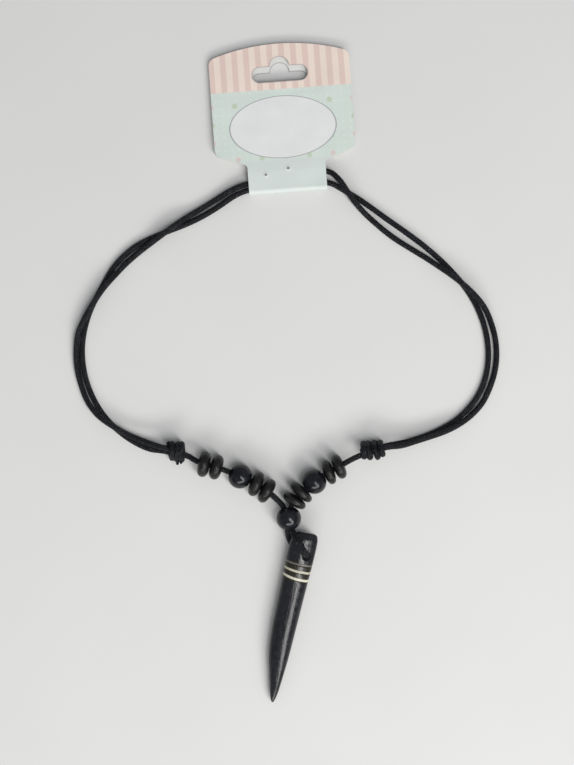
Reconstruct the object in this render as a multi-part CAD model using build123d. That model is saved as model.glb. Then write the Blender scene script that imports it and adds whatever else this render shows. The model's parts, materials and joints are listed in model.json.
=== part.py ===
from build123d import *
from math import pi, radians, sin, tan
import os

# Fang necklace, laid flat, on the folded card that it is sold on.
# Millimetres. +Z points up from the surface, +Y towards the card's top edge, and the
# origin is on the surface, under the middle of everything but the two bare neck cords.

# Cord
cord_diameter = 1.85
side_gap = 0.10
surface_gap = 0.03
arc_share = 0.45

# Round beads
round_bead_diameter = 7.8
round_bead_length = 7.0
centre_bead_length = 7.25
single_bore = 2.7
bore_round_over = 0.35
mouth_round_over = 0.50

# Discs
disc_face_rise = 0.35
disc_rim_depth = 0.95
crown_depth_share = 0.55
crown_rise_share = 0.72

# Fang
fang_length = 54.4
fang_width = 8.6
fang_depth = 5.8
fang_bend = 1.0
fang_end_round = 0.4
fang_hole = 2.3
fang_hole_flare = 0.45
fang_hole_from_end = 7.3
fang_hole_from_middle = 1.75
ring_groove_depth = 0.18
smallest_oval = 0.2

# Knots
wrap_wire = 1.75
wrap_pitch = 1.63
wrap_count = 4
tail_length = 2.4

# Card
card_width = 44.0
card_height = 46.7
card_thickness = 0.4
card_bottom_corner = 12.8
card_top_corner_drop = 3.8
card_corner_round = 2.5
fold_gap = 1.95
fold_off_surface = 0.5
flat_length = 7.0
card_top_clearance = 1.3
tab_width = 24.4
tab_height = 9.2
tab_round = 1.5
back_drop = 1.8
slot_length = 17.4
slot_height = 4.8
slot_below_top = 9.5
slot_bump_radius = 3.0
slot_bump_rise = 2.4

# Staple
staple_wire = 0.45
staple_width = 7.3
staple_bend = 0.3
staple_stands_proud = 0.06
staple_clearance = 0.05

# A cut that goes right through any piece
through_cut = 60.0

# Where the pieces lie. Beads: centre, turn of the drilled hole from +X, and for a disc
# its diameter and its thickness at the hole, which vary a little from disc to disc.
round_beads = [
    # name, x, y, z, turn
    ("round_bead_left", -10.7, -32.1, 4.10, -22),
    ("round_bead_right", 12.4, -33.8, 4.10, 38),
]
discs = [
    # name, x, y, turn, diameter, thickness
    ("disc_left_1", -22.0, -28.3, -11, 8.2, 3.7),
    ("disc_left_2", -18.1, -29.3, -16, 7.9, 3.7),
    ("disc_left_3", -5.7, -34.5, -24, 8.15, 3.6),
    ("disc_left_4", -2.4, -36.65, -31, 8.15, 3.6),
    ("disc_right_1", 6.2, -39.7, 58, 8.0, 3.1),
    ("disc_right_2", 8.3, -37.0, 47, 8.4, 3.1),
    ("disc_right_3", 16.95, -30.85, 22, 7.9, 3.2),
    ("disc_right_4", 20.1, -29.1, 22, 8.0, 3.4),
]
centre_bead = (4.44, -45.2, 4.4)
centre_bead_turn = -84

# The fang's axis: middle of its drilled end, heading of its tip, how far the tip dips,
# and how far its left edge rolls down.
fang_top = (9.65, -49.5, 4.7)
fang_heading = -100.8
fang_dip = 2.75
fang_roll = 3.0
fang_sections = [
    # share of length, share of width, share of depth, share of bend
    (0.000, 0.600, 0.40, -0.45),
    (0.008, 0.765, 0.54, -0.38),
    (0.026, 0.895, 0.66, -0.26),
    (0.065, 0.975, 0.75, -0.08),
    (0.120, 0.995, 0.81, 0.06),
    (0.190, 0.985, 0.88, 0.19),
    (0.270, 0.960, 0.94, 0.37),
    (0.360, 0.930, 0.98, 0.57),
    (0.460, 0.905, 1.00, 0.78),
    (0.550, 0.880, 1.00, 0.95),
    (0.650, 0.820, 0.98, 1.00),
    (0.740, 0.725, 0.92, 0.92),
    (0.820, 0.565, 0.79, 0.66),
    (0.890, 0.420, 0.62, 0.44),
    (0.945, 0.290, 0.43, 0.30),
    (0.983, 0.150, 0.22, 0.20),
    (1.000, 0.055, 0.08, 0.16),
]
ring_grooves = [
    # distance from the drilled end, width, lean across the fang in degrees
    (9.7, 0.40, -2.4),
    (11.85, 0.65, -4.2),
    (14.2, 0.80, -6.0),
]

knots = [
    # name, x, y, turn towards the beads, roll, side of the strand that runs through,
    # turn of the tail, how far along the tail stands
    ("knot_left", -31.0, -24.4, -10, 60, -1, 35, 1.5),
    ("knot_right", 30.8, -23.85, 197, 70, 1, -165, -0.6),
]

# Card: middle of the fold, and its turn.
card_fold = (4.35, 56.5)
card_turn = 4.2
staple_middle = (-3.05, 6.65)
staple_turn = 12.3

# Routes of the cord, as chosen points of its middle line.
bead_cord_route = [
    (-30.9, -24.91, 2.81),
    (-27.24, -25.56, 2.81),
    (-24.7, -27.3, 3.8),
    (-22.0, -28.25, 4.15),
    (-18.1, -29.35, 4.05),
    (-14.5, -30.6, 4.0),
    (-10.7, -32.1, 4.1),
    (-5.6, -34.5, 4.1),
    (-2.4, -36.6, 4.1),
    (0.9, -39.4, 4.1),
    (3.05, -41.7, 4.3),
    (3.55, -45.3, 4.0),
    (4.1, -48.8, 3.65),
    (3.8, -51.4, 1.8),
    (5.9, -54.7, 0.96),
    (10.0, -56.9, 0.96),
    (10.0, -56.9, 8.0),
    (7.7, -52.8, 7.85),
    (6.5, -50.6, 7.1),
    (5.45, -48.55, 5.2),
    (5.3, -45.1, 4.8),
    (5.02, -41.6, 4.5),
    (6.2, -39.7, 4.1),
    (8.3, -37.0, 4.2),
    (12.4, -33.8, 4.1),
    (16.95, -30.85, 4.05),
    (20.1, -29.1, 4.1),
    (26.1, -25.63, 4.64),
    (30.85, -24.18, 4.64),
]
neck_cord_a_route = [
    (-31.13, -24.87, 2.81),
    (-35.2, -24.15, 2.81),
    (-39.4, -23.6, 1.6),
    (-46.6, -19.6, 0.96),
    (-53.0, -13.6, 0.96),
    (-57.3, -6.2, 0.96),
    (-59.8, 2.0, 0.96),
    (-60.0, 10.4, 0.96),
    (-58.2, 18.8, 0.96),
    (-54.4, 26.6, 0.96),
    (-49.8, 34.3, 0.96),
    (-43.1, 40.4, 0.96),
    (-34.9, 44.0, 0.96),
    (-26.7, 47.3, 0.96),
    (-18.9, 51.6, 1.1),
    (-11.8, 56.0, 1.8),
    (-6.0, 57.7, 1.88),
    (1.0, 58.3, 1.88),
    (8.2, 58.9, 1.88),
    (13.4, 59.7, 1.88),
    (17.6, 59.6, 1.86),
    (21.2, 57.5, 1.1),
    (25.6, 54.9, 0.96),
    (30.3, 51.9, 0.96),
    (34.7, 48.6, 0.96),
    (41.8, 43.6, 0.96),
    (48.7, 38.1, 0.96),
    (54.8, 32.2, 0.96),
    (60.3, 25.6, 0.96),
    (64.3, 17.9, 0.96),
    (66.4, 9.6, 0.96),
    (66.2, 1.3, 0.96),
    (63.5, -6.4, 0.96),
    (58.1, -12.9, 0.96),
    (51.1, -17.4, 0.96),
    (43.1, -20.4, 1.2),
    (38.9, -21.6, 2.3),
    (34.72, -22.3, 2.81),
    (30.7, -23.53, 2.81),
]
neck_cord_b_route = [
    (-30.92, -23.92, 4.5),
    (-35.05, -23.19, 4.5),
    (-39.3, -21.5, 3.7),
    (-46.2, -18.6, 3.0),
    (-53.7, -14.0, 3.0),
    (-57.0, -10.9, 2.4),
    (-59.5, -7.0, 0.96),
    (-62.1, 1.6, 0.96),
    (-62.2, 10.6, 0.96),
    (-61.0, 15.2, 2.1),
    (-58.0, 21.2, 3.0),
    (-54.2, 26.8, 3.0),
    (-50.9, 30.0, 2.8),
    (-48.0, 32.9, 1.5),
    (-45.0, 35.7, 0.96),
    (-41.6, 38.3, 1.2),
    (-38.1, 40.9, 2.6),
    (-34.6, 43.9, 3.1),
    (-31.0, 46.7, 2.95),
    (-27.5, 49.2, 1.4),
    (-20.0, 53.35, 1.1),
    (-12.5, 57.95, 1.8),
    (-6.0, 59.95, 1.88),
    (1.0, 61.0, 1.88),
    (8.0, 62.2, 1.88),
    (13.6, 63.1, 1.88),
    (17.4, 63.0, 1.88),
    (20.5, 60.3, 2.7),
    (22.6, 57.2, 3.1),
    (24.7, 54.3, 2.95),
    (26.9, 51.6, 1.9),
    (29.4, 49.0, 0.96),
    (36.3, 43.1, 0.96),
    (42.9, 38.9, 0.96),
    (47.3, 36.3, 0.98),
    (51.0, 33.7, 2.3),
    (55.2, 30.9, 3.0),
    (60.3, 26.7, 3.0),
    (64.2, 22.6, 2.3),
    (66.6, 18.6, 0.96),
    (69.0, 10.0, 0.96),
    (68.7, 1.0, 0.96),
    (65.6, -7.6, 0.96),
    (62.9, -11.3, 0.96),
    (59.6, -14.5, 1.2),
    (55.6, -17.1, 2.4),
    (51.6, -18.9, 3.0),
    (43.3, -21.3, 3.15),
    (39.1, -22.35, 4.15),
    (34.91, -22.94, 4.64),
    (30.95, -24.15, 4.64),
]

cord_radius = cord_diameter / 2
strand_offset = (cord_diameter + side_gap) / 2


def save(name, solid):
    solid.label = name
    export_step(solid, f"parts/{name}.step")


def corner_radii(points):
    # Each arc starts and ends this share of the shorter run away from the corner.
    radii = []
    for before, corner, after in zip(points, points[1:], points[2:]):
        run_in = Vector(*corner) - Vector(*before)
        run_out = Vector(*after) - Vector(*corner)
        half_turn = radians(run_in.get_angle(run_out)) / 2
        radii.append(arc_share * min(run_in.length, run_out.length) / tan(half_turn))
    return radii


def cord_tube(name, points):
    radii = corner_radii(points)
    path = FilletPolyline(*points, radius=radii)
    start = Plane(origin=path @ 0, z_dir=path % 0)
    tube = sweep(start * Circle(cord_radius), path=path)
    share = tube.volume / (path.length * pi * cord_radius**2)
    print(f"{name}: {path.length:.1f} mm long, volume {share:.4f} of section times length")
    print(f"  corner radii {[round(radius, 1) for radius in radii]}")
    return tube


def drilled_round_bead(length, bore, round_over):
    # The length is that of a bead with a single bore, and a wider bore shortens it.
    half = length / 2
    narrow = single_bore / 2
    with BuildPart() as bead:
        with BuildSketch(Plane.XZ):
            with BuildLine():
                ThreePointArc((narrow, half), (round_bead_diameter / 2, 0), (narrow, -half))
                Line((narrow, -half), (narrow, half))
            make_face()
            Rectangle(bore, 2 * length, mode=Mode.SUBTRACT)
        revolve(axis=Axis.Z)
        fillet(bead.edges().filter_by(GeomType.CIRCLE).filter_by(
            lambda edge: abs(edge.radius - bore / 2) < 0.01 and abs(edge.center().Z) > half / 2
        ), round_over)
    return bead.part


def drilled_disc(diameter, thickness):
    bore = single_bore / 2
    rim = diameter / 2
    shoulder = rim - disc_rim_depth
    face = thickness / 2
    edge = face - disc_face_rise
    crown = (
        bore + (shoulder - bore) * crown_depth_share,
        edge + (face - edge) * crown_rise_share,
    )
    with BuildPart() as disc:
        with BuildSketch(Plane.XZ):
            with BuildLine():
                ThreePointArc((bore, face), crown, (shoulder, edge))
                ThreePointArc((shoulder, edge), (rim, 0), (shoulder, -edge))
                ThreePointArc((shoulder, -edge), (crown[0], -crown[1]), (bore, -face))
                Line((bore, -face), (bore, face))
            make_face()
        revolve(axis=Axis.Z)
    return disc.part


def on_cord(x, y, z, turn):
    return Pos(x, y, z) * Rot(0, 0, turn) * Rot(0, 90, 0)


def fang_body(inset):
    # Ovals square to the axis, from the drilled end to just short of the tip.
    ovals = []
    for length_share, width_share, depth_share, bend_share in fang_sections:
        plane = Plane(
            origin=(fang_length * length_share, -fang_bend * bend_share, 0),
            x_dir=(0, 1, 0),
            z_dir=(1, 0, 0),
        )
        half_width = fang_width / 2 * width_share - inset
        half_depth = fang_depth / 2 * depth_share - inset
        if min(half_width, half_depth) > smallest_oval:
            ovals.append(plane * Ellipse(half_width, half_depth))
    return loft(ovals)


def fang():
    body = fang_body(0)
    drilled_end = body.faces().filter_by(GeomType.PLANE).sort_by(Axis.X)[0]
    body = fillet(drilled_end.edges(), fang_end_round)
    core = fang_body(ring_groove_depth)
    for distance, width, lean in ring_grooves:
        slab = Pos(distance, 0, 0) * Rot(0, 0, lean) * Box(width, 2 * fang_width, 2 * fang_width)
        body -= slab - core
    lying = Pos(*fang_top) * Rot(0, 0, fang_heading)
    body = lying * Rot(0, fang_dip, 0) * Rot(fang_roll, 0, 0) * body

    # The hole stands upright, and is flared where it meets the fang's back and front.
    hole = lying * Pos(fang_hole_from_end, fang_hole_from_middle, -fang_top[2])
    middle_line = hole * Line((0, 0, -through_cut / 2), (0, 0, through_cut / 2))
    heights = [vertex.Z for vertex in (middle_line & body).vertices()]
    flare = Cone(fang_hole / 2 + 2 * fang_hole_flare, fang_hole / 2, 2 * fang_hole_flare)
    body -= hole * Cylinder(fang_hole / 2, through_cut)
    body -= hole * Pos(0, 0, min(heights)) * flare
    body -= hole * Pos(0, 0, max(heights)) * Rot(180, 0, 0) * flare
    return body


def knot_frame(x, y, turn, roll):
    # The knot stands on the surface; its two strands lie one to each side of its middle.
    height = surface_gap + wrap_wire + side_gap + cord_radius + strand_offset * sin(radians(roll))
    return Pos(x, y, height) * Rot(0, 0, turn) * Rot(roll, 0, 0)


def knot(x, y, turn, roll, through, tail_turn, tail_along):
    # The wraps are one row of overlapping rounds carried round both strands. The wrap next
    # to the beads is filled in behind, where the tied strand ends.
    strand_room = cord_radius + side_gap
    reach = strand_room + wrap_wire / 2
    across = Plane(origin=(0, 0, 0), x_dir=(0, 1, 0), z_dir=(1, 0, 0))
    round_both = SlotCenterToCenter(2 * strand_offset, 2 * reach)
    row = Sketch()
    for count in range(wrap_count):
        row += Pos((count - (wrap_count - 1) / 2) * wrap_pitch, 0, 0) * Circle(wrap_wire / 2)
    section = Plane(origin=(0, 0, reach), x_dir=(1, 0, 0), z_dir=(0, 1, 0))
    body = sweep(section * row, path=(across * round_both).wire())
    last_wrap = (wrap_count - 1) / 2 * wrap_pitch
    body += extrude(across.offset(last_wrap - wrap_wire / 4) * round_both, wrap_wire / 2)
    strand_hole = Cylinder(strand_room, through_cut)
    body -= Pos(0, through * strand_offset, 0) * Rot(0, 90, 0) * strand_hole
    tail = Cylinder(wrap_wire / 2, tail_length, align=(Align.CENTER, Align.CENTER, Align.MIN))
    tail = fillet(tail.faces().sort_by(Axis.Z)[-1].edges(), wrap_wire / 4)
    body += Pos(tail_along, 0, 0) * Rot(tail_turn, 0, 0) * Pos(0, 0, reach) * tail
    return knot_frame(x, y, turn, roll) * body


def card_outline(drop):
    # The back panel's top edge and slot stand lower than the front's by the drop.
    half = card_width / 2
    tab = tab_width / 2
    top = card_height - drop
    top_corner = top - card_top_corner_drop
    slot_level = top - slot_below_top
    with BuildSketch() as outline:
        with BuildLine():
            Polyline(
                (-half, top_corner),
                (-half, card_bottom_corner),
                (-tab, tab_height),
                (-tab, -card_thickness),
                (tab, -card_thickness),
                (tab, tab_height),
                (half, card_bottom_corner),
                (half, top_corner),
            )
            ThreePointArc((half, top_corner), (0, top), (-half, top_corner))
        make_face()
        waist = [v for v in outline.vertices() if abs(v.Y - tab_height) < 0.01]
        fillet(waist, tab_round)
        corners = [v for v in outline.vertices() if abs(abs(v.X) - half) < 0.01]
        fillet(corners, card_corner_round)
        with Locations((0, slot_level)):
            SlotOverall(slot_length, slot_height, mode=Mode.SUBTRACT)
        with Locations((0, slot_level + slot_bump_rise)):
            Circle(slot_bump_radius, mode=Mode.SUBTRACT)
    return outline.sketch


def hang_card():
    # Side view: the back panel lies under the cords, and the front panel runs from the fold
    # over the cords. Both slope from the staple down to their top edges.
    inner = fold_gap / 2
    outer = inner + card_thickness
    low = fold_off_surface
    back_face = low + card_thickness
    high = low + 2 * outer
    middle = low + outer
    back_height = card_height - back_drop
    with BuildPart() as card:
        with BuildSketch(Plane.YZ):
            with BuildLine():
                Polyline((back_height, surface_gap), (flat_length, low), (outer, low))
                ThreePointArc((outer, low), (0, middle), (outer, high))
                Polyline(
                    (outer, high),
                    (flat_length, high),
                    (card_height, card_top_clearance + card_thickness),
                    (card_height, card_top_clearance),
                    (flat_length, high - card_thickness),
                    (outer, high - card_thickness),
                )
                ThreePointArc(
                    (outer, high - card_thickness), (card_thickness, middle), (outer, back_face)
                )
                Polyline(
                    (outer, back_face),
                    (flat_length, back_face),
                    (back_height, surface_gap + card_thickness),
                    (back_height, surface_gap),
                )
            make_face()
        extrude(amount=card_width, both=True)
    between_panels = (back_face + card_top_clearance) / 2
    plan = extrude(card_outline(back_drop), between_panels)
    plan += Pos(0, 0, between_panels) * extrude(card_outline(0), high)
    body = card.part & plan
    for side in (-1, 1):
        leg = Pos(*staple_middle) * Rot(0, 0, staple_turn) * Pos(side * staple_width / 2, 0, 0)
        body -= leg * Cylinder(staple_wire / 2 + staple_clearance, through_cut)
    return Pos(*card_fold) * Rot(0, 0, card_turn) * body


def staple():
    top = fold_off_surface + fold_gap + 2 * card_thickness + staple_stands_proud
    crown = fold_off_surface - staple_clearance / 2 - staple_wire / 2
    half = staple_width / 2
    path = FilletPolyline(
        (-half, 0, top), (-half, 0, crown), (half, 0, crown), (half, 0, top), radius=staple_bend
    )
    wire = sweep(Plane(origin=path @ 0, z_dir=path % 0) * Circle(staple_wire / 2), path=path)
    return Pos(*card_fold) * Rot(0, 0, card_turn) * Pos(*staple_middle) * Rot(0, 0, staple_turn) * wire


os.makedirs("parts", exist_ok=True)

for name, x, y, z, turn in round_beads:
    bead = drilled_round_bead(round_bead_length, single_bore, bore_round_over)
    save(name, on_cord(x, y, z, turn) * bead)

double_bore = 2 * (strand_offset + cord_radius + side_gap)
bead = drilled_round_bead(centre_bead_length, double_bore, mouth_round_over)
save("round_bead_centre", on_cord(*centre_bead, centre_bead_turn) * bead)

for name, x, y, turn, diameter, thickness in discs:
    disc = drilled_disc(diameter, thickness)
    save(name, on_cord(x, y, diameter / 2 + surface_gap, turn) * disc)

save("fang", fang())

for name, *how_it_lies in knots:
    save(name, knot(*how_it_lies))

save("bead_cord", cord_tube("bead_cord", bead_cord_route))
save("neck_cord_a", cord_tube("neck_cord_a", neck_cord_a_route))
save("neck_cord_b", cord_tube("neck_cord_b", neck_cord_b_route))

save("hang_card", hang_card())
save("staple", staple())
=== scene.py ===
# %% [markdown]
# # A fang necklace on its folded hang card
#
# The real thing is a braided black cord with dark wooden discs, glossy black beads and a
# carved fang, held by a small printed card. This lesson dresses its CAD model. The frame
# brings in the CAD solids, which fix every place and size, and each cell below makes one
# piece or one finish. Lengths are written in millimetres, as on a drawing, and turned into
# metres where a mesh is made.

import json

import bpy
import numpy as np
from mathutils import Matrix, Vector

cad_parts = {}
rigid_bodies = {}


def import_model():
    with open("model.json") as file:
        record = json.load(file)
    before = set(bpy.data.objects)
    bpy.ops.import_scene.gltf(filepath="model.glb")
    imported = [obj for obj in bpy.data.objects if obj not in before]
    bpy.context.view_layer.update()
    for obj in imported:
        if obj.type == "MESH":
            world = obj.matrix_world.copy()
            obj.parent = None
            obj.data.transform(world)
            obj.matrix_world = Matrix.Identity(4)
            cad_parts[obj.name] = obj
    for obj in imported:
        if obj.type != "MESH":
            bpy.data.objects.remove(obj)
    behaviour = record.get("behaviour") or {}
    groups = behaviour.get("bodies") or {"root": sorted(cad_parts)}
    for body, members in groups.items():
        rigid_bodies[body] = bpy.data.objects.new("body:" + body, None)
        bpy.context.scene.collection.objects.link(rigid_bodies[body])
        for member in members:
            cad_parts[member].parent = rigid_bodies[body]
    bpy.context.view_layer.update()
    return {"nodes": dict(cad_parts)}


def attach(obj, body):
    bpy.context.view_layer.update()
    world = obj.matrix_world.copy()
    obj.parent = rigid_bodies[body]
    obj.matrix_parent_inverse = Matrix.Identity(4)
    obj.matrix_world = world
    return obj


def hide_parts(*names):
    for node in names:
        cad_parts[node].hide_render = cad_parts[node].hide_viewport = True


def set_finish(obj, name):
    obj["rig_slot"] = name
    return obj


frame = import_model()
nodes = frame["nodes"]
MM = 0.001
print("CAD nodes:", ", ".join(sorted(nodes)))

# %% [markdown]
# ## The camera
#
# The photograph looks straight down at the necklace from arm's length. A long lens from
# 650 mm above shows the same frame, and the beads hardly lean away from the middle.

# %% Set the camera above the middle of the frame
view_middle = (3.906, -2.906)
view_height = 239.06
camera_distance = 650.0
look_level = 2.0

camera_data = bpy.data.cameras.new("camera")
camera_data.sensor_fit = "AUTO"
camera_data.sensor_width = 36.0
camera_data.lens = camera_data.sensor_width * camera_distance / view_height
camera_data.clip_start = 0.01
camera = bpy.data.objects.new("camera", camera_data)
bpy.context.scene.collection.objects.link(camera)
camera.location = np.array([*view_middle, camera_distance + look_level]) * MM
bpy.context.scene.camera = camera
print(f"Lens {camera_data.lens:.1f} mm, {camera_distance:.0f} mm above the surface")

# %% [markdown]
# ## The cord's routes
#
# A cord is a fixed length of something limp, so its line comes first. Each route below is a
# short list of points chosen from the CAD source. They are the control points of one smooth
# NURBS curve, which cuts gently inside them as a real cord does. Most points of the neck
# strands are moved by a fraction of a millimetre, and so are two of the bead cord's, until
# their edges follow the photograph. Where one strand crosses the other, points side by side
# make a long low hump.

# %% The routes, in millimetres
bead_cord_route = [
    (-30.9, -24.91, 2.81),
    (-27.24, -25.56, 2.81),
    (-24.7, -27.3, 3.8),
    (-22.0, -28.25, 4.15),
    (-18.1, -29.35, 4.05),
    (-14.5, -30.6, 4.0),
    (-10.7, -32.1, 4.1),
    (-5.6, -34.5, 4.1),
    (-2.4, -36.6, 4.1),
    (0.9, -39.4, 4.1),
    (3.05, -41.7, 4.3),
    (3.55, -45.3, 4.0),
    (4.1, -48.8, 3.65),
    (4.3, -51.2, 1.85),
    (5.9, -54.7, 0.96),
    (10.0, -56.9, 0.96),
    (10.0, -56.9, 8.0),
    (7.7, -52.8, 7.85),
    (6.3, -50.65, 7.15),
    (5.45, -48.55, 5.2),
    (5.3, -45.1, 4.8),
    (5.02, -41.6, 4.5),
    (6.2, -39.7, 4.1),
    (8.3, -37.0, 4.2),
    (12.4, -33.8, 4.1),
    (16.95, -30.85, 4.05),
    (20.1, -29.1, 4.1),
    (26.1, -25.63, 4.64),
    (30.85, -24.18, 4.64),
]
neck_cord_a_route = [
    (-31.13, -24.87, 2.81),
    (-35.2, -24.15, 2.81),
    (-39.5, -23.85, 1.6),
    (-46.8, -20.0, 0.96),
    (-53.25, -13.95, 0.96),
    (-57.7, -6.4, 0.96),
    (-60.15, 2.0, 0.96),
    (-60.25, 10.4, 0.96),
    (-58.2, 18.8, 0.96),
    (-54.3, 26.5, 0.96),
    (-49.8, 34.3, 0.96),
    (-43.0, 40.3, 0.96),
    (-34.8, 43.9, 0.96),
    (-26.5, 46.95, 0.96),
    (-18.6, 51.2, 1.1),
    (-11.8, 56.15, 1.8),
    (-6.0, 57.8, 1.88),
    (1.0, 58.3, 1.88),
    (8.2, 58.9, 1.88),
    (13.4, 59.7, 1.88),
    (17.6, 59.6, 1.86),
    (21.2, 57.5, 1.1),
    (25.65, 54.95, 0.96),
    (30.2, 51.85, 0.96),
    (34.65, 48.55, 0.96),
    (41.8, 43.6, 0.96),
    (48.8, 38.3, 0.96),
    (55.0, 32.5, 0.96),
    (60.6, 25.9, 0.96),
    (64.85, 18.1, 0.96),
    (67.0, 9.7, 0.96),
    (66.9, 1.15, 0.96),
    (64.3, -6.8, 0.96),
    (58.7, -13.6, 0.96),
    (51.4, -18.1, 0.96),
    (43.3, -21.05, 1.2),
    (38.95, -21.9, 2.3),
    (34.75, -22.65, 2.81),
    (30.7, -23.53, 2.81),
]
neck_cord_b_route = [
    (-30.92, -23.92, 4.5),
    (-35.05, -23.19, 4.5),
    (-39.4, -21.75, 3.7),
    (-46.4, -19.0, 3.0),
    (-54.0, -14.4, 3.0),
    (-57.1, -11.0, 2.5),
    (-59.55, -7.0, 0.98),
    (-62.05, 1.6, 0.98),
    (-62.0, 10.6, 1.6),
    (-60.5, 15.0, 2.6),
    (-57.25, 20.8, 3.0),
    (-53.6, 26.3, 3.0),
    (-50.6, 29.7, 2.8),
    (-47.9, 32.8, 1.5),
    (-45.0, 35.7, 0.96),
    (-41.7, 38.4, 1.2),
    (-38.1, 40.9, 2.6),
    (-34.4, 43.7, 3.1),
    (-30.8, 46.4, 2.95),
    (-27.25, 48.85, 1.4),
    (-19.9, 53.2, 1.1),
    (-12.5, 57.95, 1.8),
    (-6.0, 59.8, 1.88),
    (1.0, 61.0, 1.88),
    (8.0, 62.2, 1.88),
    (13.6, 63.1, 1.88),
    (17.5, 63.15, 1.88),
    (20.5, 60.3, 2.7),
    (22.45, 57.1, 3.1),
    (24.5, 54.15, 2.95),
    (26.75, 51.5, 1.9),
    (29.3, 48.9, 0.96),
    (36.2, 42.95, 0.96),
    (42.85, 38.8, 0.96),
    (47.25, 36.2, 0.98),
    (50.95, 33.6, 2.3),
    (55.1, 30.8, 3.0),
    (60.3, 26.7, 3.0),
    (64.25, 22.6, 2.4),
    (66.9, 18.7, 0.96),
    (69.6, 10.1, 0.96),
    (69.4, 0.85, 0.96),
    (66.15, -7.9, 0.96),
    (63.3, -11.65, 0.96),
    (59.75, -14.7, 2.0),
    (55.65, -17.2, 2.65),
    (51.6, -18.9, 3.0),
    (43.35, -21.5, 3.2),
    (39.2, -22.75, 4.2),
    (34.91, -22.94, 4.66),
    (30.95, -24.15, 4.64),
]
cord_diameter = 1.85
cord_radius = cord_diameter / 2
print(len(bead_cord_route), len(neck_cord_a_route), len(neck_cord_b_route), "route points")


# %% Read each route's smooth line from its NURBS curve
def smooth_line(route):
    """Points in mm along the NURBS curve of degree 2 whose control points are the route.

    The curve starts and ends on the route's first and last points. A curve without a bevel
    becomes a row of joined points, and that row is what the cord's surface follows.
    """
    curve = bpy.data.curves.new("route", "CURVE")
    curve.dimensions = "3D"
    curve.resolution_u = 16
    spline = curve.splines.new("NURBS")
    spline.points.add(len(route) - 1)
    spline.points.foreach_set("co", np.array([(*p, 1.0) for p in route]).ravel())
    spline.order_u = 3
    spline.use_endpoint_u = True
    guide = bpy.data.objects.new("route", curve)
    bpy.context.scene.collection.objects.link(guide)
    row = bpy.data.meshes.new_from_object(guide)
    line = np.empty(len(row.vertices) * 3)
    row.vertices.foreach_get("co", line)
    bpy.data.objects.remove(guide)
    bpy.data.curves.remove(curve)
    bpy.data.meshes.remove(row)
    return line.reshape(-1, 3)


def running_length(line):
    """Distance along the line at each of its points: the sum of the steps so far."""
    steps = np.linalg.norm(np.diff(line, axis=0), axis=1)
    return np.concatenate([[0.0], np.cumsum(steps)])


def even_steps(line, step):
    """The same line with its points an equal step apart, by interpolation over its length."""
    length = running_length(line)
    stations = np.linspace(0, length[-1], max(2, round(length[-1] / step) + 1))
    return np.stack([np.interp(stations, length, line[:, axis]) for axis in range(3)], axis=1)


def smooth_between(marks, values, at):
    """A curve through the values: between two marks a cubic that keeps the slope at both."""
    slopes = np.gradient(values, marks)
    k = np.clip(np.searchsorted(marks, at, side="right") - 1, 0, len(marks) - 2)
    gap = marks[k + 1] - marks[k]
    t = (at - marks[k]) / gap
    return (
        (2 * t**3 - 3 * t**2 + 1) * values[k] + (t**3 - 2 * t**2 + t) * gap * slopes[k]
        + (3 * t**2 - 2 * t**3) * values[k + 1] + (t**3 - t**2) * gap * slopes[k + 1]
    )


cord_step = 0.3
cord_lines = {
    "bead_cord": even_steps(smooth_line(bead_cord_route), cord_step),
    "neck_cord_a": even_steps(smooth_line(neck_cord_a_route), cord_step),
    "neck_cord_b": even_steps(smooth_line(neck_cord_b_route), cord_step),
}
for name, line in cord_lines.items():
    print(f"{name}: {running_length(line)[-1]:.1f} mm, lowest middle {line[:, 2].min():.2f} mm")

# %% [markdown]
# ## From numbers to a mesh
#
# Every new piece is a grid of points, worked out as one array. One helper turns such a grid
# into a closed mesh with a UV map, and turns its faces outwards if they came out inwards.


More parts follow.
